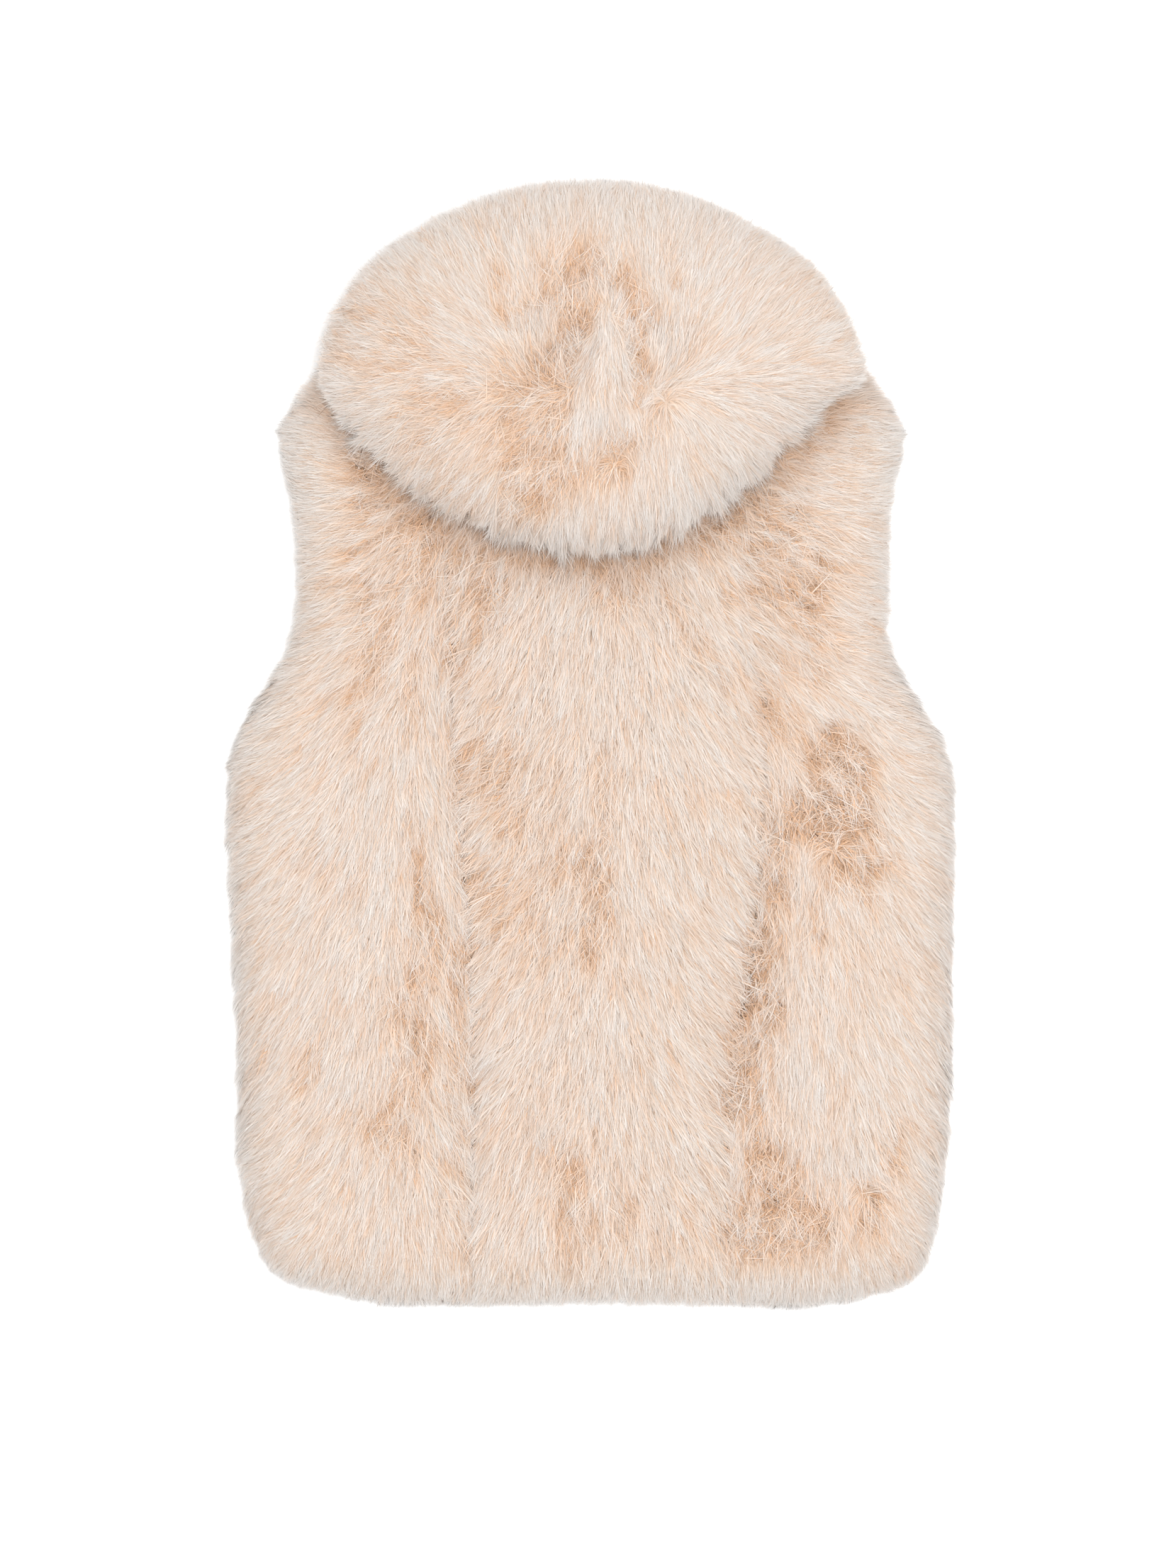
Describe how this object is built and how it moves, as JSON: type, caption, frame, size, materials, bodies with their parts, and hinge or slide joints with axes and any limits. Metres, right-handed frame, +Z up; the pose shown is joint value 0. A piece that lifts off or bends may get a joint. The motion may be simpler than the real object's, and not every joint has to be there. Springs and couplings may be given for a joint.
{
  "type": "hooded gilet",
  "caption": "Sleeveless long-pile gilet with a hood, laid face down and flat with the hood dropped on its back.",
  "frame": {"origin": "middle of the underside of the box around the garment as it lies, on the surface it rests on", "axes": "+Z up out of the back, +Y towards the hood, +X towards the wearer's right side"},
  "size_m": [0.5144, 0.7955, 0.1148],
  "materials": {
    "pile_back": "soft long pile, cream with warm tan roots",
    "pile_front": "long pile pressed flat, cream with warm tan roots",
    "pile_hood": "soft long pile, cream with warm tan roots"
  },
  "bodies": {
    "root": {"front_left": "pile_front", "front_right": "pile_front", "back_centre": "pile_back", "back_side_left": "pile_back", "back_side_right": "pile_back", "hood_left": "pile_hood", "hood_right": "pile_hood", "hood_inner": "pile_hood", "hood_mouth": "pile_hood"}
  },
  "joints": []
}
